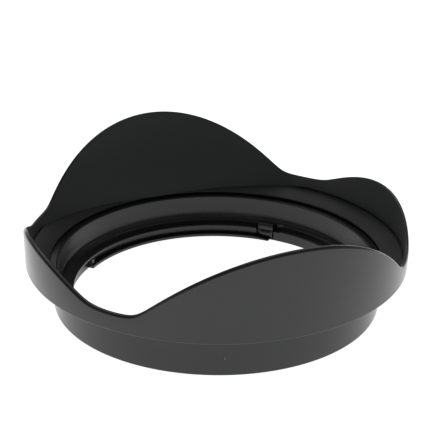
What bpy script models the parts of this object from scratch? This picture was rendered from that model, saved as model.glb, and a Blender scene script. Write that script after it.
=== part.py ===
"""Petal lens hood with a two-lug bayonet, for the front of a wide zoom lens.

The hood's axis is Z, its lens side is at Z = 0, and the origin is the centre of its rear face.
The two long petals point along +Y and -Y, and the two short petals along +X and -X.
"""
import math

import bmesh
import bpy
from mathutils import Vector

MM = 0.001          # everything below is in millimetres and degrees
GAP = 0.3           # clearance between neighbouring pieces

# Petal shroud
BAND_RADIUS = 57.5  # outer radius at the band's lower edge
BAND_BOTTOM = 14.2
FLARE = 0.02        # outward growth of the radius for each millimetre of height
WALL = 1.3
RIM_ROUND = 0.9     # rounding of the rim's outer edge
LONG_PETAL = 40.2   # rim height at the middle of a long petal
SHORT_PETAL = 27.3
VALLEY = 19.0       # rim height of the level stretch between two petals
PETAL_FALL = 0.0103  # drop of the rim for each squared degree away from a petal's middle
PETAL_EASE = 2.4    # rounding where a petal runs out into the valley
VALLEY_ANGLE = 53.5  # from a long petal's middle to where the inner wall stands upright
FOOT_RADIUS = 49.6  # where the long petal's inner wall meets the baffle
FOOT_SHARPNESS = 1.6
SCOOP = 1.1         # above 1, the leaning wall is hollow like a scoop
SKIRT = 1.0         # wall left beside the collar's flange
EDGE_BREAK = 0.3    # small chamfer of a moulded edge
INNER_BREAK = 0.1
WALL_ROWS = (0.92, 0.75, 0.55, 0.35, 0.2, 0.08)  # heights of the inner wall's rows, as shares
POCKET_HALF_ANGLE = 38.0
POCKET_STEPS = 22
POCKET_ROWS = 3
POCKET_MARGIN = 0.2  # wall kept outside the pocket beyond the band's own thickness
POCKET_TOP = 0.4    # width of the pocket where it closes

# Baffle ring, which is also the sloping floor between the petals
FLOOR_OUTER = 16.0  # height of the floor at the shroud
FLOOR_SLOPE = 0.43
FLOOR_THICK = 1.1
CREST_RADIUS = 50.2
LIP_UNDERCUT = 0.4  # how far the crest overhangs the funnel

# Mount collar
COLLAR_RADIUS = 49.4
COLLAR_BORE = 47.9  # seat of the bayonet ring
COLLAR_EDGE = 0.5
COLLAR_EDGE_BULGE = 0.15
FLANGE_ROOT = 1.3   # thickness of the flange at the collar
FLANGE_EDGE = 0.8
FUNNEL_TOP = 12.4   # flat inner end of the flange, in the shadow of the baffle's crest
FUNNEL_WALL = (     # the hollow curve from the flange down to the ledge above the bayonet
    (48.2, 12.4), (48.15, 10.5), (48.08, 9.0), (48.0, 7.7), (47.88, 6.7), (47.63, 5.7),
    (47.2, 5.0), (46.7, 4.6), (45.9, 4.3),
)
SHOULDER_RADIUS = 43.4
SHOULDER_TOP = 4.0
SHOULDER_UNDER = 3.3

# Bayonet ring
RING_RADIUS = COLLAR_BORE - GAP
GROOVE_RADIUS = 44.3
RING_BOTTOM = 0.1
RING_TOP = SHOULDER_UNDER - GAP
LUG_RADIUS = 42.5
LUG_BOTTOM = 0.25
LUG_TOP = 1.25
LUG_START = 43.5    # angle of the lug's lead-in end, from +X
LUG_END = 133.5
LUG_RAMP = 6.0
LUG_RAMP_SHARE = 0.4  # thickness of the lug where its ramp begins
LUG_ROOT = 0.6      # how deep lugs and stops reach into the ring
LUG_STEPS = 30
STOP_ANGLE = 2.2
STOP_RADIUS = 43.2
STOP_MARGIN = 0.2

# Lock tongue, a spring finger standing in a pocket of the bayonet ring
TONGUE_ANGLE = 45.75
TONGUE_WIDTH = 5.0
TONGUE_THICK = 1.1
TONGUE_BOTTOM = 0.9
TONGUE_TOP = 5.5
TONGUE_STEPS = 12
TONGUE_SLOT = 0.5
HEAD_SETBACK = 0.3  # the tongue's head stands back from its lower face
HEAD_BOTTOM = 3.6
POCKET_FLOOR = 0.6
POCKET_RADIUS = 46.8
HINGE_RADIUS = 44.9
DETENT = 0.45       # how far the rounded detent stands in
DETENT_ROWS = (3.2, 2.9, 2.4, 1.9, 1.4)
WINDOW_START = 38.6
WINDOW_END = 49.6
WINDOW_RADIUS = 47.0
WINDOW_TOP = 6.0
WINDOW_STEPS = 6

# Index mark, a paint-filled tick on the collar
MARK_ANGLE = -110.0
MARK_HEIGHT = 5.6
MARK_SIZE = (0.6, 0.4, 1.4)  # radial, across, along the axis
MARK_PROUD = 0.05

SEGMENTS = 96
EPSILON = 0.5       # how far a cutter runs past the face that it opens
TINY = 0.01         # tolerance when comparing positions


def petal_rise(height, turn):
    """How far a petal stands above the valley, at an angle in degrees from its middle."""
    rise = height - VALLEY - PETAL_FALL * turn * turn
    return 0.5 * (rise + math.hypot(rise, PETAL_EASE))


def from_long_axis(angle):
    """Angle to the nearest long petal's middle, 0 to 90 degrees, for a direction in radians."""
    return math.degrees(math.acos(min(1.0, abs(math.sin(angle)))))


def rim_height(angle):
    """Height of the petal rim in a direction."""
    turn = from_long_axis(angle)
    return VALLEY + petal_rise(LONG_PETAL, turn) + petal_rise(SHORT_PETAL, 90.0 - turn)


def floor_height(radius):
    """Top of the sloping floor, which falls towards the axis."""
    return FLOOR_OUTER - FLOOR_SLOPE * (BAND_RADIUS - WALL - radius)


def foot_radius(angle):
    """Inner wall radius where it meets the floor: the long petals' inner walls lean inwards."""
    upright = BAND_RADIUS - WALL
    share = min(1.0, from_long_axis(angle) / VALLEY_ANGLE) ** FOOT_SHARPNESS
    return FOOT_RADIUS + (upright - FOOT_RADIUS) * share


def flare(height):
    """Extra radius of the band at a height."""
    return FLARE * max(0.0, height - BAND_BOTTOM)


def wall_point(angle, share):
    """Radius and height on a petal's inner wall, from its foot (share 0) to its rim (share 1)."""
    foot, rim = foot_radius(angle), rim_height(angle)
    bottom = floor_height(foot) + GAP
    lean = BAND_RADIUS - WALL + flare(rim) - foot
    return foot + lean * (1.0 - (1.0 - share) ** SCOOP), bottom + (rim - bottom) * share


def plastic(name, colour, roughness):
    """A plain moulded plastic."""
    material = bpy.data.materials.new(name)
    material.use_nodes = True
    shader = material.node_tree.nodes["Principled BSDF"]
    shader.inputs["Base Color"].default_value = (*colour, 1.0)
    shader.inputs["Roughness"].default_value = roughness
    shader.inputs["Metallic"].default_value = 0.0
    return material


def finish(name, mesh_data, material=None):
    """Closes a bmesh into a named object."""
    bmesh.ops.recalc_face_normals(mesh_data, faces=mesh_data.faces)
    mesh = bpy.data.meshes.new(name)
    mesh_data.to_mesh(mesh)
    mesh_data.free()
    mesh.shade_smooth()
    mesh.set_sharp_from_angle(angle=math.radians(30.0))
    piece = bpy.data.objects.new(name, mesh)
    bpy.context.collection.objects.link(piece)
    if material:
        mesh.materials.append(material)
    return piece


def section_loop(mesh_data, section, angle=0.0):
    """Draws a closed (radius, height) outline as edges in the plane of one direction."""
    points = [
        Vector((radius * math.cos(angle), radius * math.sin(angle), height)) * MM
        for radius, height in section
    ]
    corners = [mesh_data.verts.new(point) for point in points]
    edges = [mesh_data.edges.new(pair) for pair in zip(corners, corners[1:] + corners[:1])]
    return corners, edges


def turned(section):
    """A full ring turned about Z from a closed outline."""
    mesh_data = bmesh.new()
    corners, edges = section_loop(mesh_data, section)
    bmesh.ops.spin(
        mesh_data, geom=corners + edges, cent=(0, 0, 0), axis=(0, 0, 1),
        angle=math.tau, steps=SEGMENTS, use_merge=True,
    )
    return mesh_data


def swept(section, start, end, steps):
    """Part of a ring, from one angle to another in degrees, with both ends closed."""
    mesh_data = bmesh.new()
    corners, edges = section_loop(mesh_data, section, math.radians(start))
    first = mesh_data.faces.new(corners)
    bmesh.ops.spin(
        mesh_data, geom=[first], cent=(0, 0, 0), axis=(0, 0, 1),
        angle=math.radians(end - start), steps=steps, use_duplicate=False,
    )
    return mesh_data


def box_section(inner, outer, bottom, top):
    """A rectangular outline."""
    return [(inner, bottom), (outer, bottom), (outer, top), (inner, top)]


def reshape(mesh_data, rule):
    """Moves each vertex by a rule on its (radius, height, angle), all in millimetres."""
    for vertex in mesh_data.verts:
        angle = math.atan2(vertex.co.y, vertex.co.x)
        radius = math.hypot(vertex.co.x, vertex.co.y) / MM
        radius, height = rule(radius, vertex.co.z / MM, angle)
        vertex.co = Vector((radius * math.cos(angle), radius * math.sin(angle), height)) * MM


def combine(target, tool, operation):
    """Adds or removes one solid by a Boolean modifier and hides the tool."""
    modifier = target.modifiers.new(tool.name, 'BOOLEAN')
    modifier.operation = operation
    modifier.solver = 'EXACT'
    modifier.object = tool
    tool.hide_render = True
    tool.display_type = 'WIRE'


def quarter_round(centre, size, start, end, steps=3):
    """Points on an arc about a centre, from one angle to another in degrees."""
    return [
        (centre[0] + size * math.cos(math.radians(start + (end - start) * step / steps)),
         centre[1] + size * math.sin(math.radians(start + (end - start) * step / steps)))
        for step in range(steps + 1)
    ]


def petal_shroud(material):
    """The outer wall with its four petals. The rim is drawn level first, then raised and cut."""
    inner = BAND_RADIUS - WALL
    level = LONG_PETAL
    foot = FLOOR_OUTER + GAP
    section = [(BAND_RADIUS - SKIRT, BAND_BOTTOM), (BAND_RADIUS - EDGE_BREAK, BAND_BOTTOM)]
    section += [(BAND_RADIUS, BAND_BOTTOM + EDGE_BREAK)]
    section += quarter_round((BAND_RADIUS - RIM_ROUND, level - RIM_ROUND), RIM_ROUND, 0.0, 90.0)
    section += [(inner + INNER_BREAK, level), (inner, level - INNER_BREAK)]
    section += [(inner, foot + (level - foot) * share) for share in WALL_ROWS]
    section += [(inner, foot), (BAND_RADIUS - SKIRT, foot)]

    def rule(radius, height, angle):
        if height < foot + TINY and radius > inner + TINY:
            return radius, height
        if radius < inner + TINY:
            return wall_point(angle, (height - foot) / (level - foot))
        height += rim_height(angle) - level
        return radius + flare(height), height

    mesh_data = turned(section)
    reshape(mesh_data, rule)
    shroud = finish("petal_shroud", mesh_data, material)
    for side in (90.0, -90.0):
        combine(shroud, wall_pocket(side), 'DIFFERENCE')
    return shroud


def wall_pocket(side):
    """The hollow behind a long petal's leaning inner wall, which keeps the walls even."""
    outside = BAND_RADIUS - WALL - POCKET_MARGIN
    mesh_data = bmesh.new()
    loops = []
    for step in range(POCKET_STEPS + 1):
        angle = math.radians(side + POCKET_HALF_ANGLE * (2.0 * step / POCKET_STEPS - 1.0))
        foot, rim_radius = foot_radius(angle), wall_point(angle, 1.0)[0]
        closing = (outside - POCKET_TOP - WALL - foot) / (rim_radius - foot)
        share = 1.0 - (1.0 - closing) ** (1.0 / SCOOP)
        rows = [wall_point(angle, share * row / POCKET_ROWS) for row in range(POCKET_ROWS + 1)]
        top = rows[-1][1]
        outline = [(outside, floor_height(foot) - EPSILON), (outside, top)]
        outline += [(radius + WALL, height) for radius, height in reversed(rows)]
        outline += [(foot + WALL, floor_height(foot) - EPSILON)]
        corners, _ = section_loop(mesh_data, outline, angle)
        loops.append(corners)
    for near, far in zip(loops, loops[1:]):
        for index in range(len(near)):
            following = (index + 1) % len(near)
            mesh_data.faces.new((near[index], near[following], far[following], far[index]))
    mesh_data.faces.new(loops[0])
    mesh_data.faces.new(loops[-1])
    return finish("pocket_cutter", mesh_data)


def baffle_ring(material):
    """The sloping floor inside the petals. Its rounded crest overhangs the funnel."""
    outer = BAND_RADIUS - WALL - GAP
    under = CREST_RADIUS + LIP_UNDERCUT
    section = [(outer, floor_height(outer) - FLOOR_THICK), (outer, floor_height(outer))]
    section += [(CREST_RADIUS + EDGE_BREAK, floor_height(CREST_RADIUS + EDGE_BREAK))]
    section += [(CREST_RADIUS + INNER_BREAK, floor_height(CREST_RADIUS) - INNER_BREAK)]
    section += [(CREST_RADIUS, floor_height(CREST_RADIUS) - EDGE_BREAK)]
    section += [(under, floor_height(under) - FLOOR_THICK)]
    return finish("baffle_ring", turned(section), material)


def flange_top(radius):
    """Top of the collar's flange, which runs just under the baffle."""
    return floor_height(radius) - FLOOR_THICK - GAP


def mount_collar(material):
    """The lower barrel: flange under the baffle, hollow funnel, ledge and bayonet seat."""
    edge = BAND_RADIUS - SKIRT - GAP
    meet = edge - (flange_top(edge) - FUNNEL_TOP) / FLOOR_SLOPE
    section = [(COLLAR_RADIUS - COLLAR_EDGE, 0.0)]
    section += [(COLLAR_RADIUS - COLLAR_EDGE_BULGE, COLLAR_EDGE_BULGE), (COLLAR_RADIUS, COLLAR_EDGE)]
    section += [(COLLAR_RADIUS, flange_top(COLLAR_RADIUS) - FLANGE_ROOT)]
    section += [(edge, flange_top(edge) - FLANGE_EDGE), (edge, flange_top(edge))]
    section += [(meet, FUNNEL_TOP), *FUNNEL_WALL, (SHOULDER_RADIUS, SHOULDER_TOP)]
    section += [(SHOULDER_RADIUS, SHOULDER_UNDER), (COLLAR_BORE, SHOULDER_UNDER)]
    section += [(COLLAR_BORE, 0.0)]
    collar = finish("mount_collar", turned(section), material)
    for turn in (0.0, 180.0):
        opening = box_section(
            SHOULDER_RADIUS - EPSILON, WINDOW_RADIUS, SHOULDER_UNDER - EPSILON, WINDOW_TOP)
        window = swept(opening, WINDOW_START + turn, WINDOW_END + turn, WINDOW_STEPS)
        combine(collar, finish("window_cutter", window), 'DIFFERENCE')
    combine(collar, mark_block("mark_cutter", GAP, EPSILON), 'DIFFERENCE')
    return collar


def lug_ramp(start):
    """A rule that thins a lug towards its lead-in end."""
    def rule(radius, height, angle):
        past = (math.degrees(angle) - start + TINY) % 360.0
        if height > LUG_BOTTOM + TINY and past < LUG_RAMP:
            share = LUG_RAMP_SHARE + (1.0 - LUG_RAMP_SHARE) * past / LUG_RAMP
            height = LUG_BOTTOM + (LUG_TOP - LUG_BOTTOM) * share
        return radius, height
    return rule


def bayonet_ring(material):
    """The ring that grips the lens: groove wall, two lugs with lead-in ramps, two end stops."""
    ring = finish("bayonet_ring", turned(
        box_section(GROOVE_RADIUS, RING_RADIUS, RING_BOTTOM, RING_TOP)), material)
    root = GROOVE_RADIUS + LUG_ROOT
    half = math.degrees((TONGUE_WIDTH / 2.0 + TONGUE_SLOT) / GROOVE_RADIUS)
    for turn in (0.0, 180.0):
        lug = swept(box_section(LUG_RADIUS, root, LUG_BOTTOM, LUG_TOP),
                    LUG_START + turn, LUG_END + turn, LUG_STEPS)
        reshape(lug, lug_ramp(LUG_START + turn))
        combine(ring, finish("lug_tool", lug), 'UNION')
        stop = swept(
            box_section(STOP_RADIUS, root, LUG_BOTTOM + STOP_MARGIN, RING_TOP - STOP_MARGIN),
            LUG_END - STOP_ANGLE + turn, LUG_END - STOP_MARGIN + turn, 2)
        combine(ring, finish("stop_tool", stop), 'UNION')
        pocket = swept(
            box_section(GROOVE_RADIUS - GAP, POCKET_RADIUS, POCKET_FLOOR, RING_TOP + EPSILON),
            TONGUE_ANGLE - half + turn, TONGUE_ANGLE + half + turn, WINDOW_STEPS)
        combine(ring, finish("tongue_pocket_cutter", pocket), 'DIFFERENCE')
    return ring


def lock_tongue(name, turn, material):
    """A spring finger with a rounded detent. Its origin is on the line that it flexes about."""
    half = math.degrees(TONGUE_WIDTH / 2.0 / GROOVE_RADIUS)
    face, back = GROOVE_RADIUS, GROOVE_RADIUS + TONGUE_THICK
    section = [(face, TONGUE_BOTTOM), (back, TONGUE_BOTTOM), (back, TONGUE_TOP - EDGE_BREAK)]
    section += [(back - EDGE_BREAK, TONGUE_TOP), (face + HEAD_SETBACK, TONGUE_TOP)]
    section += [(face + HEAD_SETBACK, HEAD_BOTTOM)]
    section += [(face, height) for height in DETENT_ROWS]
    middle = 0.5 * (DETENT_ROWS[0] + TONGUE_BOTTOM)
    mesh_data = swept(section, -half, half, TONGUE_STEPS)

    def detent(radius, height, angle):
        across = math.degrees(angle) / half
        along = (height - middle) / (DETENT_ROWS[0] - middle)
        if radius < face + TINY and abs(along) < 1.0 - TINY and abs(across) < 1.0 - TINY:
            radius -= DETENT * (1.0 - along * along) * (1.0 - across * across)
        return radius, height

    reshape(mesh_data, detent)
    bmesh.ops.translate(
        mesh_data, verts=mesh_data.verts, vec=(-HINGE_RADIUS * MM, 0.0, -TONGUE_BOTTOM * MM))
    tongue = finish(name, mesh_data, material)
    angle = math.radians(TONGUE_ANGLE + turn)
    tongue.rotation_euler.z = angle
    tongue.location = Vector((HINGE_RADIUS * math.cos(angle), HINGE_RADIUS * math.sin(angle),
                              TONGUE_BOTTOM)) * MM
    return tongue


def mark_block(name, margin, proud, material=None):
    """The small block of the index mark, or with a margin the recess that holds it."""
    depth, across, along = MARK_SIZE
    reach = COLLAR_RADIUS + proud
    size = Vector((depth + margin + proud, across + 2 * margin, along + 2 * margin))
    mesh_data = bmesh.new()
    bmesh.ops.create_cube(mesh_data, size=1.0)
    bmesh.ops.scale(mesh_data, verts=mesh_data.verts, vec=size * MM)
    angle = math.radians(MARK_ANGLE)
    middle = reach - size.x / 2.0
    block = finish(name, mesh_data, material)
    block.rotation_euler.z = angle
    block.location = Vector((middle * math.cos(angle), middle * math.sin(angle), MARK_HEIGHT)) * MM
    return block


def build():
    """Clears the scene's objects and makes every piece of the hood."""
    for old in list(bpy.data.objects):
        bpy.data.objects.remove(old, do_unlink=True)
    outside = plastic("satin_black_abs", (0.018, 0.018, 0.018), 0.38)
    inside = plastic("matt_black_abs", (0.012, 0.012, 0.012), 0.5)
    paint = plastic("grey_paint", (0.12, 0.12, 0.12), 0.5)
    hood = bpy.data.objects.new("hood_root", None)
    bpy.context.collection.objects.link(hood)
    pieces = [
        petal_shroud(outside),
        baffle_ring(inside),
        mount_collar(outside),
        bayonet_ring(inside),
        lock_tongue("lock_tongue_a", 0.0, inside),
        lock_tongue("lock_tongue_b", 180.0, inside),
        mark_block("index_mark", 0.0, MARK_PROUD, paint),
    ]
    for piece in pieces:
        piece.parent = hood


build()
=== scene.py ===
"""Petal lens hood for a wide zoom, in black ABS, standing on its lens side in a soft studio.

The petals are raised from a level ring by one rule in Geometry Nodes. The other rings are turned
from their outlines, the two lugs and stops are repeated round the axis, and the two lock tongues
ride on their own bodies. Outlines are lists of (radius, height) in millimetres.
"""
import math

import bmesh
import bpy
from mathutils import Matrix, Vector


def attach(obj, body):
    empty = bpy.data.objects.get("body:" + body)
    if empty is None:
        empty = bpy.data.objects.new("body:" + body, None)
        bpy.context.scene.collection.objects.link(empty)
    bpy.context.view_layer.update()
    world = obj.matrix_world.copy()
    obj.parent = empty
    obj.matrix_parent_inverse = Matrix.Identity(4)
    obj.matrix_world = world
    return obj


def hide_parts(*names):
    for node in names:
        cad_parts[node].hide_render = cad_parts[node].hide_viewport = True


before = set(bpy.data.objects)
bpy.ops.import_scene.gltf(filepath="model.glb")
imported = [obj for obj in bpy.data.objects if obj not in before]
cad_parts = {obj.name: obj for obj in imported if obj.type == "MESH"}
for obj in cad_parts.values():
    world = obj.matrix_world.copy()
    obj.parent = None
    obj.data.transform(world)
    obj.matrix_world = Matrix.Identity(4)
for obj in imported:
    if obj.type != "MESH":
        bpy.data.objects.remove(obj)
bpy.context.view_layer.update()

MM = 0.001          # outlines are in millimetres, meshes in metres
STEPS = 384         # segments of a full turn
SEAM = 0.12         # dark line left where two mouldings meet
TINY = 0.01         # too small to show
MERGE = 0.001       # points closer than this become one
SIDE_SHARE = 0.45   # most of a side that one rounded corner takes
SHARP = 38.0        # least angle, in degrees, of an edge that stays sharp on a moulded piece
CUT_SHARP = 30.0    # the same on a piece with openings cut in it
CUT_MARGIN = 0.5    # how far a cutter reaches past the surface that it opens
LINE_MARGIN = 0.5   # how far off a wall the line between two finishes runs

# Petal shroud
BAND_RADIUS = 57.5
BAND_BOTTOM = 14.2
FLARE = 0.02        # outward growth of the radius for each millimetre of height
WALL = 1.3
INNER = BAND_RADIUS - WALL
RIM_ROUND = 0.9
RIM_STEPS = 8       # segments across the rounded rim
RIM_INNER_EDGE = ((0.12, 0.0), (0.04, 0.03), (0.0, 0.1))  # out from the wall, down from the rim
BAND_EASE = 0.3     # rounding of the band's lower edge
WALL_ROWS = 24      # rows of faces up the inner wall
LONG_PETAL = 40.2
SHORT_PETAL = 27.3
VALLEY = 19.0       # rim height of the level stretch between two petals
PETAL_FALL = 0.0103  # drop of the rim for each squared degree away from a petal's middle
PETAL_EASE = 2.4    # rounding where a petal runs out into the valley
VALLEY_ANGLE = 53.5  # from a long petal's middle to where the inner wall stands upright
FOOT_RADIUS = 49.6  # radius of the inner wall's foot in the middle of a long petal
FOOT_SHARPNESS = 1.6  # how late the foot moves outwards on the way to the valley
SCOOP = 1.1         # how hollow the inner wall is from foot to rim: 1 is straight
SKIRT = 1.0         # thickness of the band below the floor

# Baffle, collar and bayonet
FLOOR_OUTER = 16.0  # height of the floor at the petals' inner wall
FLOOR_SLOPE = 0.43
FLOOR_THICK = 1.1
FLOOR_EASE = 0.4
CREST_RADIUS = 50.2  # inner end of the floor, over the funnel
CREST_EDGE = 0.35   # height of the crest's upright face
LIP_UNDERCUT = 0.4  # how far the crest hangs over its own underside
COLLAR_RADIUS = 49.4
COLLAR_BORE = 47.9
COLLAR_EASE = 0.5   # rounding of the lower edge that the hood stands on
FLANGE_ROOT = 1.3   # thickness of the flange at the collar
FLANGE_EDGE = 0.8   # and at the band
FUNNEL_TOP = 12.4   # flat inner end of the flange, in the shadow of the baffle's crest
FUNNEL_EASE = 0.35
FUNNEL_WALL = (     # the hollow curve from the flange down to the ledge above the bayonet
    (48.2, 12.4), (48.15, 10.5), (48.08, 9.0), (48.0, 7.7), (47.88, 6.7), (47.63, 5.7),
    (47.2, 5.0), (46.7, 4.6), (45.9, 4.3),
)
SHOULDER_RADIUS = 43.4
SHOULDER_TOP = 4.0
SHOULDER_UNDER = 3.3
SHOULDER_EASE = 0.25
GROOVE_RADIUS = 44.3
RING_BOTTOM = 0.1
RING_TOP = SHOULDER_UNDER - SEAM
RING_EASE = 0.15    # rounding of the bayonet ring's edges and of the stops'
LUG_RADIUS = 42.5
LUG_BOTTOM = 0.25
LUG_TOP = 1.25
LUG_START = 43.5
LUG_END = 133.5
LUG_EASE = 0.18
LUG_STEPS = 96
LUG_RAMP = 6.0      # degrees over which a lug thickens from its lead-in end
LUG_RAMP_SHARE = 0.4  # share of the thickness that it starts with
LUG_ROOT = 0.6      # how deep a lug is set into the ring
STOP_ANGLE = 2.2
STOP_RADIUS = 43.2
STOP_MARGIN = 0.2   # how far a stop keeps inside the ends of its lug and ring
STOP_STEPS = 4

# Lock tongues, their pockets and windows, and the index tick. Angles are in degrees.
TONGUE_ANGLE = 45.75
TONGUE_WIDTH = 5.0
TONGUE_THICK = 1.1
TONGUE_BOTTOM = 0.9
TONGUE_TOP = 5.5
TONGUE_FACE_TOP = 3.2
TONGUE_EASE = 0.12
TONGUE_SHARP = 50.0
TONGUE_STEPS = 20   # segments across a tongue, and rows up its face
TONGUE_ROWS = 14
HEAD_BOTTOM = 3.6
HEAD_SETBACK = 0.3
HEAD_EASE = 0.15
HEAD_SLOPE = 0.1    # height over which the face steps back to the head's
DETENT = 0.45       # how far the rounded detent stands out of the face
DETENT_POWER = 3    # a higher power gives it a flatter middle and steeper sides
TONGUE_SLOT = 0.5   # room beside a tongue
POCKET_FLOOR = 0.6
POCKET_TOP = RING_TOP + 1.0  # well past the top of the ring, so that the pocket is open
POCKET_RADIUS = 46.8
POCKET_MARGIN = 0.3  # room in front of a tongue
POCKET_STEPS = 8
WINDOW_START = 38.6
WINDOW_END = 49.6
WINDOW_RADIUS = 47.0
WINDOW_TOP = 6.0
WINDOW_STEPS = 12
MARK_ANGLE = -110.0
MARK_HEIGHT = 5.6
MARK_SIZE = (0.6, 0.4, 1.4)  # radial, across, along the axis
MARK_PROUD = 0.05
MARK_GAP = 0.06
MARK_EASE = 0.08

# Finishes
CLOUD = 14.0        # width of the faint uneven patches that flow and handling leave on plastic
CLOUD_RANGE = (0.3, 0.7)  # values of the cloud pattern at which a patch is dullest and glossiest
SPECKLE = 0.03      # how far the grain varies the roughness


def add(tree, kind, inputs=None, **settings):
    """Adds a node, sets its properties, and fills its inputs with values or other outputs."""
    new = tree.nodes.new(kind)
    for name, value in settings.items():
        setattr(new, name, value)
    for socket, value in (inputs or {}).items():
        if isinstance(value, bpy.types.NodeSocket):
            tree.links.new(value, new.inputs[socket])
        else:
            new.inputs[socket].default_value = value
    return new


def linear(hex_colour):
    """An sRGB hex colour as the linear colour that a shader takes."""
    shares = [int(hex_colour[place:place + 2], 16) / 255.0 for place in (1, 3, 5)]
    return (*[share / 12.92 if share <= 0.04045 else ((share + 0.055) / 1.055) ** 2.4
              for share in shares], 1.0)


def moulded(name, dark, light, gloss, grain, grain_depth, ior=1.46):
    """A moulded plastic or a paint. Gloss is its least and greatest roughness, grain in mm."""
    material = bpy.data.materials.new(name)
    material.use_nodes = True
    tree = material.node_tree
    shader = tree.nodes["Principled BSDF"]
    shader.inputs["IOR"].default_value = ior
    place = add(tree, "ShaderNodeTexCoord").outputs["Object"]
    texture = add(tree, "ShaderNodeTexNoise",
                  {"Vector": place, "Scale": 1.0 / (grain * MM), "Detail": 3.0,
                   "Roughness": 0.6}).outputs["Fac"]
    bump = add(tree, "ShaderNodeBump",
               {"Height": texture, "Strength": 1.0, "Distance": grain_depth * MM})
    tree.links.new(bump.outputs["Normal"], shader.inputs["Normal"])
    clouds = add(tree, "ShaderNodeTexNoise",
                 {"Vector": place, "Scale": 1.0 / (CLOUD * MM), "Detail": 4.0,
                  "Roughness": 0.55}).outputs["Fac"]
    handling = add(tree, "ShaderNodeMapRange",
                   {"Value": clouds, "From Min": CLOUD_RANGE[0], "From Max": CLOUD_RANGE[1],
                    "To Min": gloss[0], "To Max": gloss[1]})
    speckle = add(tree, "ShaderNodeMath",
                  {0: texture, 1: SPECKLE, 2: handling.outputs["Result"]},
                  operation='MULTIPLY_ADD')
    tree.links.new(speckle.outputs[0], shader.inputs["Roughness"])
    colour = add(tree, "ShaderNodeMix", {0: clouds, 6: linear(dark), 7: linear(light)},
                 data_type='RGBA')
    tree.links.new(colour.outputs[2], shader.inputs["Base Color"])
    return material


# Injection-moulded ABS from a spark-eroded tool: a satin black that goes pale grey at a grazing
# angle. Its real grain is 0.1 mm, and it is drawn at 0.3 mm so that it just shows.
OUTSIDE = moulded("satin_abs_spark_eroded", "#161a17", "#1a1e1b", (0.14, 0.19), 0.3, 0.002, 1.54)
# The petals' inner walls: the same ABS left matt against flare, so that they take on no clear
# reflection and stay an even dark grey. Its base colour is lighter than the ABS's own: painted light
# that stands in for light falling on these walls.
WALL_PAINTED_LIGHT = moulded("matt_abs_petal_wall_painted_light", "#222623", "#262a27", (0.48, 0.54), 0.35, 0.0015)
# The same ABS from a finer part of the tool: the funnel, bayonet and tongues keep soft, clear
# reflections of the white table seen through the bore. They are a touch darker than the walls, whose
# lighter colour is painted light.
INSIDE = moulded("matt_abs_moulded", "#1a1d1a", "#1e211e", (0.22, 0.27), 0.25, 0.0015)
# The sloping floor: the same ABS, its texture between those two, with a broad soft sheen.
FLOOR = moulded("semi_matt_abs_floor", "#1c201d", "#202421", (0.34, 0.4), 0.3, 0.0015)
# Enamel wiped into a moulded tick: a flat mid grey with a slightly uneven surface.
PAINT = moulded("grey_enamel_fill", "#5c5c5c", "#686868", (0.45, 0.6), 0.2, 0.006)


def finish(name, mesh_data, material, sharp=SHARP):
    """Closes a bmesh into a named object with outward faces and smooth shading."""
    bmesh.ops.remove_doubles(mesh_data, verts=mesh_data.verts, dist=MERGE * MM)
    bmesh.ops.recalc_face_normals(mesh_data, faces=mesh_data.faces)
    mesh = bpy.data.meshes.new(name)
    mesh_data.to_mesh(mesh)
    mesh_data.free()
    mesh.shade_smooth()
    mesh.set_sharp_from_angle(angle=math.radians(sharp))
    mesh.materials.append(material)
    piece = bpy.data.objects.new(name, mesh)
    bpy.context.collection.objects.link(piece)
    return piece


def corner_arc(before, here, after, size, steps=4):
    """Points that round off one corner of an outline by a size, or less on a short side."""
    here = Vector(here)
    back, on = Vector(before) - here, Vector(after) - here
    reach = min(size, SIDE_SHARE * back.length, SIDE_SHARE * on.length)
    first, last = here + back.normalized() * reach, here + on.normalized() * reach
    shares = [step / steps for step in range(steps + 1)]
    return [tuple(first * (1 - t) ** 2 + here * 2 * t * (1 - t) + last * t * t) for t in shares]


def eased(section, size, steps=4):
    """A closed outline with every corner rounded off."""
    result = []
    for before, here, after in zip(section[-1:] + section, section, section[1:] + section[:1]):
        result += corner_arc(before, here, after, size, steps)
    return result


def smoothed(points, between=4):
    """More points on a smooth curve through the given ones."""
    ends = [points[0], *points, points[-1]]
    result = []
    for a, b, c, d in zip(ends, ends[1:], ends[2:], ends[3:]):
        for step in range(between):
            t = step / between
            result.append(tuple(
                0.5 * (2 * b[k] + (c[k] - a[k]) * t + (2 * a[k] - 5 * b[k] + 4 * c[k] - d[k]) * t * t
                       + (3 * b[k] - a[k] - 3 * c[k] + d[k]) * t ** 3) for k in (0, 1)))
    return result + [points[-1]]


def swept(section, start=0.0, end=360.0, steps=STEPS):
    """A bmesh swept round the axis from an outline: a closed ring, or a part with closed ends."""
    mesh_data = bmesh.new()
    whole = end - start >= 360.0
    rings = steps if whole else steps + 1
    loops = []
    for ring in range(rings):
        angle = math.radians(start + (end - start) * ring / steps)
        loops.append([
            mesh_data.verts.new((radius * math.cos(angle) * MM, radius * math.sin(angle) * MM,
                                 height * MM))
            for radius, height in section
        ])
    pairs = list(zip(loops, loops[1:])) + ([(loops[-1], loops[0])] if whole else [])
    for near, far in pairs:
        for index in range(len(section)):
            after = (index + 1) % len(section)
            mesh_data.faces.new((near[index], near[after], far[after], far[index]))
    if not whole:
        mesh_data.faces.new(loops[0])
        mesh_data.faces.new(loops[-1])
    return mesh_data


def box_section(inner, outer, bottom, top):
    """A rectangular outline."""
    return [(inner, bottom), (outer, bottom), (outer, top), (inner, top)]


def baked(piece):
    """Turns a piece's modifiers into plain mesh and removes them."""
    shown = bpy.context.evaluated_depsgraph_get()
    mesh = bpy.data.meshes.new_from_object(piece.evaluated_get(shown))
    piece.modifiers.clear()
    piece.data = mesh
    mesh.name = piece.name
    return piece


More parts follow.
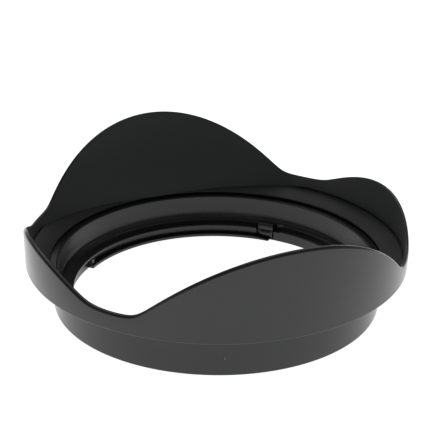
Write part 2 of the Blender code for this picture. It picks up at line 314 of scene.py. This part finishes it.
def cut(piece, cutters):
    """Cuts other solids out of a piece, and removes them."""
    for cutter in cutters:
        modifier = piece.modifiers.new("cut", 'BOOLEAN')
        modifier.operation = 'DIFFERENCE'
        modifier.solver = 'EXACT'
        modifier.object = cutter
    baked(piece)
    for cutter in cutters:
        bpy.data.objects.remove(cutter)
    piece.data.shade_smooth()
    piece.data.set_sharp_from_angle(angle=math.radians(CUT_SHARP))
    return piece


def line_inside(piece, radius, material):
    """Gives the faces nearer to the axis than a radius the finish of the inside."""
    piece.data.materials.append(material)
    for face in piece.data.polygons:
        nearer = math.hypot(face.center.x, face.center.y) < radius * MM
        face.material_index = int(nearer)


def floor_height(radius):
    """Top of the sloping floor, which falls towards the axis."""
    return FLOOR_OUTER - FLOOR_SLOPE * (INNER - radius)


# The petal rule, one line for each step: result, operation, and what goes in. Radii and heights
# are in millimetres. "turn" is the angle from the middle of the nearest long petal.
PETAL_RULE = (
    ("xx", 'MULTIPLY', "x", "x"),
    ("rr", 'MULTIPLY_ADD', "y", "y", "xx"),
    ("radius", 'SQRT', "rr"),
    ("side", 'DIVIDE', "y", "radius"),
    ("side", 'ABSOLUTE', "side"),
    ("side", 'MINIMUM', "side", 1.0),
    ("turn", 'ARCCOSINE', "side"),
    ("turn", 'DEGREES', "turn"),
    ("rest", 'SUBTRACT', 90.0, "turn"),
    # each petal falls by the square of the angle, and runs out softly into the valley
    ("ease squared", 'MULTIPLY', "Ease", "Ease"),
    ("long fall", 'MULTIPLY', "turn", "turn"),
    ("long fall", 'MULTIPLY', "long fall", "Fall"),
    ("long rise", 'SUBTRACT', "Long petal", "Valley"),
    ("long rise", 'SUBTRACT', "long rise", "long fall"),
    ("long soft", 'MULTIPLY_ADD', "long rise", "long rise", "ease squared"),
    ("long soft", 'SQRT', "long soft"),
    ("short fall", 'MULTIPLY', "rest", "rest"),
    ("short fall", 'MULTIPLY', "short fall", "Fall"),
    ("short rise", 'SUBTRACT', "Short petal", "Valley"),
    ("short rise", 'SUBTRACT', "short rise", "short fall"),
    ("short soft", 'MULTIPLY_ADD', "short rise", "short rise", "ease squared"),
    ("short soft", 'SQRT', "short soft"),
    ("twice", 'ADD', "long rise", "long soft"),
    ("twice", 'ADD', "twice", "short rise"),
    ("twice", 'ADD', "twice", "short soft"),
    ("rim", 'MULTIPLY_ADD', "twice", 0.5, "Valley"),
    # the inner wall leans in towards its foot on the baffle
    ("long share", 'DIVIDE', "turn", "Valley angle"),
    ("long share", 'MINIMUM', "long share", 1.0),
    ("foot share", 'POWER', "long share", "Foot sharpness"),
    ("lean in", 'SUBTRACT', "Inner radius", "Foot radius"),
    ("foot", 'MULTIPLY_ADD', "lean in", "foot share", "Foot radius"),
    ("drop", 'SUBTRACT', "Inner radius", "foot"),
    ("drop", 'MULTIPLY', "drop", "Floor slope"),
    ("bottom", 'SUBTRACT', "Foot height", "drop"),
    ("tall", 'SUBTRACT', "Level", "Foot height"),
    ("share", 'SUBTRACT', "z", "Foot height"),
    ("share", 'DIVIDE', "share", "tall"),
    ("share", 'MAXIMUM', "share", 0.0),
    ("share", 'MINIMUM', "share", 1.0),
    ("short of rim", 'SUBTRACT', 1.0, "share"),
    ("short of rim", 'POWER', "short of rim", "Scoop"),
    ("out", 'SUBTRACT', 1.0, "short of rim"),
    ("rim flare", 'SUBTRACT', "rim", "Band bottom"),
    ("rim flare", 'MULTIPLY', "rim flare", "Flare"),
    ("wall reach", 'ADD', "Inner radius", "rim flare"),
    ("wall reach", 'SUBTRACT', "wall reach", "foot"),
    ("wall radius", 'MULTIPLY_ADD', "wall reach", "out", "foot"),
    ("wall tall", 'SUBTRACT', "rim", "bottom"),
    ("wall height", 'MULTIPLY_ADD', "wall tall", "share", "bottom"),
    # the rim and the outside keep their outline and move up or down whole
    ("lift", 'SUBTRACT', "rim", "Level"),
    ("raised", 'ADD', "z", "lift"),
    ("spread", 'SUBTRACT', "raised", "Band bottom"),
    ("spread", 'MAXIMUM', "spread", 0.0),
    ("outer radius", 'MULTIPLY_ADD', "spread", "Flare", "radius"),
    # which of the three a point follows
    ("above foot", 'GREATER_THAN', "z", "Middle"),
    ("inside edge", 'ADD', "Inner radius", TINY),
    ("on wall", 'LESS_THAN', "radius", "inside edge"),
    ("radius step", 'SUBTRACT', "outer radius", "radius"),
    ("new radius", 'MULTIPLY_ADD', "radius step", "above foot", "radius"),
    ("new height", 'MULTIPLY_ADD', "lift", "above foot", "z"),
    ("wall step", 'SUBTRACT', "wall radius", "new radius"),
    ("new radius", 'MULTIPLY_ADD', "wall step", "on wall", "new radius"),
    ("wall step", 'SUBTRACT', "wall height", "new height"),
    ("new height", 'MULTIPLY_ADD', "wall step", "on wall", "new height"),
    ("scale", 'DIVIDE', "new radius", "radius"),
    ("new x", 'MULTIPLY', "x", "scale"),
    ("new y", 'MULTIPLY', "y", "scale"),
)
PETAL_SIZES = {
    "Long petal": LONG_PETAL, "Short petal": SHORT_PETAL, "Valley": VALLEY,
    "Fall": PETAL_FALL, "Ease": PETAL_EASE, "Valley angle": VALLEY_ANGLE, "Inner radius": INNER,
    "Foot radius": FOOT_RADIUS, "Foot sharpness": FOOT_SHARPNESS, "Scoop": SCOOP,
    "Foot height": FLOOR_OUTER + SEAM, "Floor slope": FLOOR_SLOPE, "Flare": FLARE,
    "Band bottom": BAND_BOTTOM, "Level": LONG_PETAL, "Middle": 0.5 * (FLOOR_OUTER + LONG_PETAL),
}


def node_modifier(piece, tree, values):
    """Puts a node tree on a piece and sets its named inputs by their identifiers."""
    modifier = piece.modifiers.new(tree.name, 'NODES')
    modifier.node_group = tree
    for item in tree.interface.items_tree:
        if item.item_type == 'SOCKET' and item.name in values:
            modifier[item.identifier] = values[item.name]
    return modifier


def new_tree(name, sockets):
    """An empty geometry tree with its geometry in and out and the named inputs."""
    tree = bpy.data.node_groups.new(name, 'GeometryNodeTree')
    tree.interface.new_socket("Geometry", in_out='INPUT', socket_type='NodeSocketGeometry')
    for socket, kind in sockets.items():
        tree.interface.new_socket(socket, in_out='INPUT', socket_type=kind)
    tree.interface.new_socket("Geometry", in_out='OUTPUT', socket_type='NodeSocketGeometry')
    return tree, add(tree, "NodeGroupInput")


def close_tree(tree, geometry, material):
    """Ends a tree in Realize Instances and Set Material."""
    solid = add(tree, "GeometryNodeRealizeInstances", {"Geometry": geometry})
    painted = add(tree, "GeometryNodeSetMaterial",
                  {"Geometry": solid.outputs["Geometry"], "Material": material})
    add(tree, "NodeGroupOutput", {"Geometry": painted.outputs["Geometry"]})


def petal_tree(material):
    """Raises a level ring into petals by the petal rule."""
    tree, sizes = new_tree("petals", {name: 'NodeSocketFloat' for name in PETAL_SIZES})
    known = {name: sizes.outputs[name] for name in PETAL_SIZES}
    position = add(tree, "GeometryNodeInputPosition").outputs[0]
    in_mm = add(tree, "ShaderNodeVectorMath", {0: position, "Scale": 1.0 / MM}, operation='SCALE')
    parts = add(tree, "ShaderNodeSeparateXYZ", {0: in_mm.outputs[0]})
    known.update(zip("xyz", parts.outputs))
    for result, operation, *values in PETAL_RULE:
        filled = {place: known[value] if isinstance(value, str) else value
                  for place, value in enumerate(values)}
        known[result] = add(tree, "ShaderNodeMath", filled, operation=operation).outputs[0]
    moved = add(tree, "ShaderNodeCombineXYZ",
                {0: known["new x"], 1: known["new y"], 2: known["new height"]})
    in_m = add(tree, "ShaderNodeVectorMath", {0: moved.outputs[0], "Scale": MM}, operation='SCALE')
    placed = add(tree, "GeometryNodeSetPosition",
                 {"Geometry": sizes.outputs["Geometry"], "Position": in_m.outputs[0]})
    close_tree(tree, placed.outputs["Geometry"], material)
    return tree


def petal_shroud():
    """The outer wall with its four petals."""
    foot, level = FLOOR_OUTER + SEAM, LONG_PETAL
    section = [(BAND_RADIUS - SKIRT, BAND_BOTTOM)]
    section += corner_arc(section[0], (BAND_RADIUS, BAND_BOTTOM), (BAND_RADIUS, level), BAND_EASE)
    for step in range(RIM_STEPS + 1):
        angle = 0.5 * math.pi * step / RIM_STEPS
        section += [(BAND_RADIUS - RIM_ROUND * (1.0 - math.cos(angle)),
                     level - RIM_ROUND * (1.0 - math.sin(angle)))]
    section += [(INNER + out, level - down) for out, down in RIM_INNER_EDGE]
    section += [(INNER, foot + (level - foot) * (1.0 - row / WALL_ROWS))
                for row in range(1, WALL_ROWS + 1)]
    section += [(BAND_RADIUS - SKIRT, foot)]
    shroud = finish("petal_shell", swept(section), OUTSIDE)
    node_modifier(shroud, petal_tree(OUTSIDE), PETAL_SIZES)
    baked(shroud)
    shroud.data.shade_smooth()
    shroud.data.set_sharp_from_angle(angle=math.radians(SHARP))
    # the inner walls take the lighter colour that carries painted light
    line_inside(shroud, INNER + LINE_MARGIN, WALL_PAINTED_LIGHT)
    return shroud


def baffle():
    """The sloping floor between the petals, whose crest overhangs the funnel."""
    outer = INNER - SEAM
    under = CREST_RADIUS + LIP_UNDERCUT
    section = [(outer, floor_height(outer) - FLOOR_THICK), (outer, floor_height(outer))]
    section += [(CREST_RADIUS, floor_height(CREST_RADIUS))]
    section += [(CREST_RADIUS, floor_height(CREST_RADIUS) - CREST_EDGE)]
    section += [(under, floor_height(under) - FLOOR_THICK)]
    return finish("baffle_floor", swept(eased(section, FLOOR_EASE, steps=5)), FLOOR)


def flange_top(radius):
    """Top of the collar's flange, under the baffle."""
    return floor_height(radius) - FLOOR_THICK - SEAM


def collar():
    """The lower barrel with its flange and funnel, its windows cut for the tongues' heads."""
    edge = BAND_RADIUS - SKIRT - SEAM
    meet = edge - (flange_top(edge) - FUNNEL_TOP) / FLOOR_SLOPE
    root = (COLLAR_RADIUS, flange_top(COLLAR_RADIUS) - FLANGE_ROOT)
    section = corner_arc((COLLAR_BORE, 0.0), (COLLAR_RADIUS, 0.0), root, COLLAR_EASE, steps=5)
    section += [root]
    section += [(edge, flange_top(edge) - FLANGE_EDGE), (edge, flange_top(edge))]
    section += [(meet, FUNNEL_TOP), *corner_arc((meet, FUNNEL_TOP), *FUNNEL_WALL[:2], FUNNEL_EASE)]
    section += smoothed(FUNNEL_WALL)[1:]
    shoulder = [(SHOULDER_RADIUS, SHOULDER_TOP), (SHOULDER_RADIUS, SHOULDER_UNDER)]
    section += [*corner_arc(FUNNEL_WALL[-1], *shoulder, SHOULDER_EASE), shoulder[1]]
    section += [(COLLAR_BORE, SHOULDER_UNDER), (COLLAR_BORE, 0.0)]
    barrel = finish("mount_barrel", swept(section), OUTSIDE)
    cutters = []
    for turn in (0.0, 180.0):
        opening = box_section(SHOULDER_RADIUS - CUT_MARGIN, WINDOW_RADIUS,
                              SHOULDER_UNDER - CUT_MARGIN, WINDOW_TOP)
        room = swept(opening, WINDOW_START + turn, WINDOW_END + turn, WINDOW_STEPS)
        cutters.append(finish("window", room, OUTSIDE))
    cutters.append(tick_block("recess", MARK_GAP, CUT_MARGIN))
    cut(barrel, cutters)
    line_inside(barrel, COLLAR_RADIUS - LINE_MARGIN, INSIDE)
    return barrel


def tongue_pocket(turn):
    """The room round a lock tongue, cut from the bayonet ring and from its lug."""
    half = math.degrees((TONGUE_WIDTH / 2.0 + TONGUE_SLOT) / GROOVE_RADIUS)
    opening = box_section(GROOVE_RADIUS - POCKET_MARGIN, POCKET_RADIUS, POCKET_FLOOR, POCKET_TOP)
    room = swept(opening, TONGUE_ANGLE - half + turn, TONGUE_ANGLE + half + turn, POCKET_STEPS)
    return finish("pocket", room, INSIDE)


def bayonet():
    """The ring whose inner wall grips the lens, with its two tongue pockets."""
    section = box_section(GROOVE_RADIUS, COLLAR_BORE - SEAM, RING_BOTTOM, RING_TOP)
    ring = finish("bayonet_wall", swept(eased(section, RING_EASE)), INSIDE)
    return cut(ring, [tongue_pocket(0.0), tongue_pocket(180.0)])


def round_axis_tree(material):
    """Repeats a solid at equal turns round the axis."""
    tree, given = new_tree("round_axis", {"Count": 'NodeSocketInt'})
    points = add(tree, "GeometryNodePoints", {"Count": given.outputs["Count"]})
    index = add(tree, "GeometryNodeInputIndex").outputs[0]
    share = add(tree, "ShaderNodeMath", {0: index, 1: given.outputs["Count"]}, operation='DIVIDE')
    turn = add(tree, "ShaderNodeMath", {0: share.outputs[0], 1: math.tau}, operation='MULTIPLY')
    rotation = add(tree, "ShaderNodeCombineXYZ", {2: turn.outputs[0]})
    copies = add(tree, "GeometryNodeInstanceOnPoints",
                 {"Points": points.outputs[0], "Instance": given.outputs["Geometry"],
                  "Rotation": rotation.outputs[0]})
    close_tree(tree, copies.outputs["Instances"], material)
    return tree


def lugs():
    """Both bayonet lugs with their lead-in ramps, and both end stops."""
    root = GROOVE_RADIUS + LUG_ROOT
    lug = swept(eased(box_section(LUG_RADIUS, root, LUG_BOTTOM, LUG_TOP), LUG_EASE),
                LUG_START, LUG_END, LUG_STEPS)
    for vertex in lug.verts:
        past = math.degrees(math.atan2(vertex.co.y, vertex.co.x)) - LUG_START
        share = LUG_RAMP_SHARE + (1.0 - LUG_RAMP_SHARE) * min(1.0, max(0.0, past / LUG_RAMP))
        vertex.co.z = LUG_BOTTOM * MM + (vertex.co.z - LUG_BOTTOM * MM) * share
    post = box_section(STOP_RADIUS, root, LUG_BOTTOM + STOP_MARGIN, RING_TOP - STOP_MARGIN)
    stop = swept(eased(post, RING_EASE), LUG_END - STOP_ANGLE, LUG_END - STOP_MARGIN, STOP_STEPS)
    both = cut(finish("bayonet_lugs", lug, INSIDE), [tongue_pocket(0.0)])
    spare = finish("stop", stop, INSIDE)
    joined = bmesh.new()
    joined.from_mesh(both.data)
    joined.from_mesh(spare.data)
    joined.to_mesh(both.data)
    joined.free()
    bpy.data.objects.remove(spare)
    node_modifier(both, round_axis_tree(INSIDE), {"Count": 2})
    return baked(both)


def tongue(name, turn):
    """A spring finger: a rounded detent below, and a head set back above."""
    half = math.degrees(TONGUE_WIDTH / 2.0 / GROOVE_RADIUS)
    face, back = GROOVE_RADIUS, GROOVE_RADIUS + TONGUE_THICK
    head = face + HEAD_SETBACK
    section = [(face + TONGUE_EASE, TONGUE_BOTTOM), (back, TONGUE_BOTTOM), (back, TONGUE_TOP)]
    section += [(head + HEAD_EASE, TONGUE_TOP), (head, TONGUE_TOP - HEAD_EASE)]
    section += [(head, HEAD_BOTTOM), (head, TONGUE_FACE_TOP + HEAD_SLOPE)]
    middle = 0.5 * (TONGUE_FACE_TOP + TONGUE_BOTTOM)
    tall = TONGUE_FACE_TOP - middle
    section += [(face, middle + tall * (1.0 - 2.0 * row / TONGUE_ROWS))
                for row in range(TONGUE_ROWS)]
    finger = swept(section, TONGUE_ANGLE - half + turn, TONGUE_ANGLE + half + turn, TONGUE_STEPS)
    for vertex in finger.verts:
        radius = math.hypot(vertex.co.x, vertex.co.y)
        angle = math.degrees(math.atan2(vertex.co.y, vertex.co.x)) - TONGUE_ANGLE - turn
        across = ((angle + 180.0) % 360.0 - 180.0) / half
        along = (vertex.co.z / MM - middle) / tall
        if radius < (face + TINY) * MM and abs(along) < 1.0 and abs(across) < 1.0:
            bulge = (1.0 - abs(along) ** DETENT_POWER) * (1.0 - abs(across) ** DETENT_POWER)
            shift = 1.0 - DETENT * bulge * MM / radius
            vertex.co.x *= shift
            vertex.co.y *= shift
    return finish(name, finger, INSIDE, TONGUE_SHARP)


def tick_block(name, margin, proud):
    """The block of the index tick, or with a margin the recess that holds it."""
    depth, across, along = MARK_SIZE
    reach = COLLAR_RADIUS + proud
    size = Vector((depth + margin + proud, across + 2 * margin, along + 2 * margin)) * MM
    block = bmesh.new()
    bmesh.ops.create_cube(block, size=1.0)
    bmesh.ops.scale(block, verts=block.verts, vec=size)
    bmesh.ops.translate(block, verts=block.verts,
                        vec=(reach * MM - size.x / 2.0, 0.0, MARK_HEIGHT * MM))
    if not margin:
        bmesh.ops.bevel(block, geom=block.edges[:], offset=MARK_EASE * MM, segments=3,
                        profile=0.5, affect='EDGES')
    bmesh.ops.rotate(block, verts=block.verts, cent=(0, 0, 0),
                     matrix=Matrix.Rotation(math.radians(MARK_ANGLE), 3, 'Z'))
    return finish(name, block, PAINT)


def place(piece, body, node, slot):
    """Hands a finished piece to the frame."""
    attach(piece, body)
    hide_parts(node)


# The camera: angles in radians, its distance from the origin, how far the line of sight passes
# from the origin, to the right and up, and its focal length
HEADING = math.radians(-23.045)
ELEVATION = 0.4169
ROLL = -0.0104
DISTANCE = 439.6
SLIDE = (0.47, 23.39)
LENS = 117.9
SENSOR = 36.0

# The studio: a white table that glows like a lit one, a pale haze above the horizon, and one
# large soft light overhead, beyond the hood
TABLE_SIZE = 3.0    # from its middle to its edge, in metres
TABLE_DROP = 0.1    # how far it lies below the hood
TABLE_GLOW = 0.95
HAZE_FADE = (0.15, 0.75)  # sines of the heights between which the haze fades
HAZE_GLOW = (0.36, 0.12)  # its strength below and above them
SOFTBOX_HEIGHT = math.radians(56.0)
SOFTBOX_EDGE = (0.84, 0.96)  # cosines of the angles from its middle at its edge and at its core
SOFTBOX_GLOW = 0.7
BACKDROP = 0.93     # what the camera itself sees behind the table


def camera():
    """The camera, looking down at the hood with one long petal at the back left."""
    level = Vector((math.sin(HEADING), -math.cos(HEADING), 0.0))
    back = level * math.cos(ELEVATION) + Vector((0.0, 0.0, math.sin(ELEVATION)))
    right = Vector((math.cos(HEADING), math.sin(HEADING), 0.0))
    up = back.cross(right)
    spot = (back * DISTANCE + right * SLIDE[0] + up * SLIDE[1]) * MM
    turned_right = right * math.cos(ROLL) - up * math.sin(ROLL)
    turned_up = right * math.sin(ROLL) + up * math.cos(ROLL)
    lens = bpy.data.cameras.new("camera")
    lens.lens = LENS
    lens.sensor_width = SENSOR
    lens.clip_start = 0.01
    eye = bpy.data.objects.new("camera", lens)
    bpy.context.collection.objects.link(eye)
    eye.matrix_world = Matrix((turned_right, turned_up, back)).transposed().to_4x4()
    eye.location = spot
    bpy.context.scene.camera = eye


def studio():
    """The table and the dome of light."""
    scene = bpy.context.scene
    scene.view_settings.view_transform = 'Standard'
    top = bmesh.new()
    bmesh.ops.create_grid(top, x_segments=1, y_segments=1, size=TABLE_SIZE)
    bmesh.ops.translate(top, verts=top.verts, vec=(0.0, 0.0, -TABLE_DROP * MM))
    white = bpy.data.materials.new("white_table")
    white.use_nodes = True
    shader = white.node_tree.nodes["Principled BSDF"]
    shader.inputs["Base Color"].default_value = linear("#f0f0f0")
    shader.inputs["Roughness"].default_value = 0.9
    shader.inputs["Emission Color"].default_value = linear("#ffffff")
    shader.inputs["Emission Strength"].default_value = TABLE_GLOW
    table = finish("table", top, white)

    world = bpy.data.worlds.new("studio")
    scene.world = world
    world.use_nodes = True
    tree = world.node_tree
    direction = add(tree, "ShaderNodeTexCoord").outputs["Generated"]
    height = add(tree, "ShaderNodeSeparateXYZ", {0: direction}).outputs[2]
    haze = add(tree, "ShaderNodeMapRange",
               {"Value": height, "From Min": HAZE_FADE[0], "From Max": HAZE_FADE[1],
                "To Min": HAZE_GLOW[0], "To Max": HAZE_GLOW[1]}, interpolation_type='SMOOTHSTEP')
    middle = (-math.sin(HEADING) * math.cos(SOFTBOX_HEIGHT),
              math.cos(HEADING) * math.cos(SOFTBOX_HEIGHT), math.sin(SOFTBOX_HEIGHT))
    near = add(tree, "ShaderNodeVectorMath", {0: direction, 1: middle}, operation='DOT_PRODUCT')
    softbox = add(tree, "ShaderNodeMapRange",
                  {"Value": near.outputs["Value"], "From Min": SOFTBOX_EDGE[0],
                   "From Max": SOFTBOX_EDGE[1], "To Max": SOFTBOX_GLOW},
                  interpolation_type='SMOOTHSTEP')
    light = add(tree, "ShaderNodeMath", {0: haze.outputs[0], 1: softbox.outputs[0]}).outputs[0]
    seen = add(tree, "ShaderNodeLightPath").outputs["Is Camera Ray"]
    shown = add(tree, "ShaderNodeMix", {0: seen, 2: light, 3: BACKDROP})
    tree.links.new(shown.outputs[0], tree.nodes["Background"].inputs["Strength"])
    tree.nodes["Background"].inputs["Color"].default_value = linear("#ffffff")


camera()
studio()
place(petal_shroud(), "hood", "petal_shroud", "satin_black_abs")
place(baffle(), "hood", "baffle_ring", "matt_black_abs")
place(collar(), "hood", "mount_collar", "satin_black_abs")
place(bayonet(), "hood", "bayonet_ring", "matt_black_abs")
place(lugs(), "hood", "bayonet_ring", "matt_black_abs")
place(tongue("finger_a", 0.0), "tongue_a", "lock_tongue_a", "matt_black_abs")
place(tongue("finger_b", 180.0), "tongue_b", "lock_tongue_b", "matt_black_abs")
place(tick_block("index_tick", 0.0, MARK_PROUD), "hood", "index_mark", "grey_paint")
